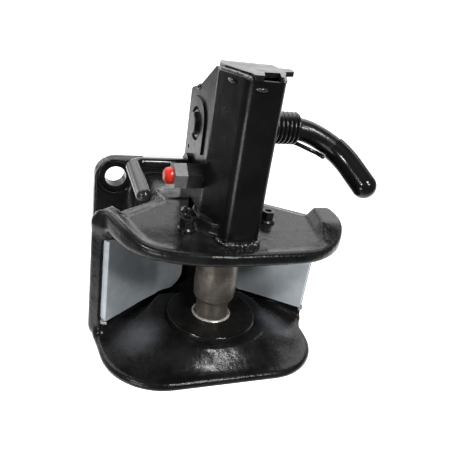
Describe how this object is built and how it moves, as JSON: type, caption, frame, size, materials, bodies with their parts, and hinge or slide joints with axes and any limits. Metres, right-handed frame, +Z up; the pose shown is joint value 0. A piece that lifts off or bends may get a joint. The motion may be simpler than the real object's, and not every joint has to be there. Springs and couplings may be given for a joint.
{
  "type": "flange pin hitch",
  "caption": "Flange-mounted pin hitch: cast jaw with a lifting coupling pin, lined mouth, sheet housing, sprung hand lever, release lever and indicator button.",
  "frame": {"origin": "centre of the bolt pattern on the back face of the flange", "axes": "+Z up along the coupling pin, +Y out of the back of the flange towards what it is bolted to, +X to the right as seen from the mouth"},
  "size_m": [0.2332, 0.2345, 0.2616],
  "materials": {
    "cast_black": "gloss black paint on rough casting",
    "black_paint": "gloss black paint on sheet and bar",
    "zinc_plate": "blue zinc plating",
    "worn_steel": "worn, lightly oxidised steel",
    "dark_bush_steel": "dark hardened steel with worn edges",
    "bronze": "plain bearing bronze",
    "machined_steel": "greased machined steel",
    "spring_steel": "black spring steel",
    "black_fastener": "black oxide and paint",
    "black_grip": "dipped vinyl grip",
    "red_plastic": "moulded red plastic",
    "bare_plate": "blank foil plate"
  },
  "bodies": {
    "root": {"hitch_body": "cast_black", "left_wear_plate": "zinc_plate", "right_wear_plate": "zinc_plate", "lower_bush": "dark_bush_steel", "guide_bush": "bronze", "mechanism_housing": "black_paint", "rear_cover": "black_paint", "housing_lid": "black_paint", "left_bearing_plate": "black_paint", "right_bearing_plate": "black_paint", "shaft_bushes": "bronze", "release_bush": "bronze", "spring_anchor": "machined_steel", "torsion_spring": "spring_steel", "pawl_spring": "spring_steel", "indicator_body": "black_fastener", "indicator_cap": "zinc_plate", "indicator_spring": "spring_steel", "jaw_bolts": "black_fastener", "cover_screws": "black_fastener", "grease_nipple": "zinc_plate", "name_plate": "bare_plate"},
    "lever": {"hand_lever": "black_paint", "lever_grip": "black_grip", "crank_arm": "machined_steel", "crank_pin": "machined_steel", "crank_rollers": "machined_steel", "crank_grub_screw": "machined_steel", "locking_cam": "machined_steel", "shaft_washer": "zinc_plate", "shaft_bolt": "black_fastener"},
    "pin": {"coupling_pin": "worn_steel", "lifting_fork": "machined_steel", "fork_bolt": "machined_steel"},
    "release": {"release_lever": "black_paint", "release_grip": "black_grip", "locking_pawl": "machined_steel"},
    "button": {"indicator_button": "red_plastic"}
  },
  "joints": [
    {"name": "lever_turn", "type": "hinge", "parent": "root", "child": "lever", "pos_m": [0, -0.135, 0.1355], "axis": [-1, 0, 0], "range_deg": [0, 100], "stiffness_Nm_per_rad": 1.5, "springref_deg": -20.05, "deforming": ["torsion_spring"]},
    {"name": "pin_lift", "type": "slide", "parent": "root", "child": "pin", "axis": [0, 0, 1], "range_m": [0, 0.0816]},
    {"name": "release_turn", "type": "hinge", "parent": "root", "child": "release", "pos_m": [0, -0.124, 0.096], "axis": [-1, 0, 0], "range_deg": [0, 24], "stiffness_Nm_per_rad": 0.4, "springref_deg": -28.65, "deforming": ["pawl_spring"]},
    {"name": "button_press", "type": "slide", "parent": "root", "child": "button", "axis": [1, 0, 0], "range_m": [0, 0.0026], "stiffness_N_per_m": 500, "springref_m": -0.002, "deforming": ["indicator_spring"]}
  ],
  "couplings": [
    {"joint": "pin_lift", "follows": "lever_turn", "m_per_rad": 0.0467}
  ]
}
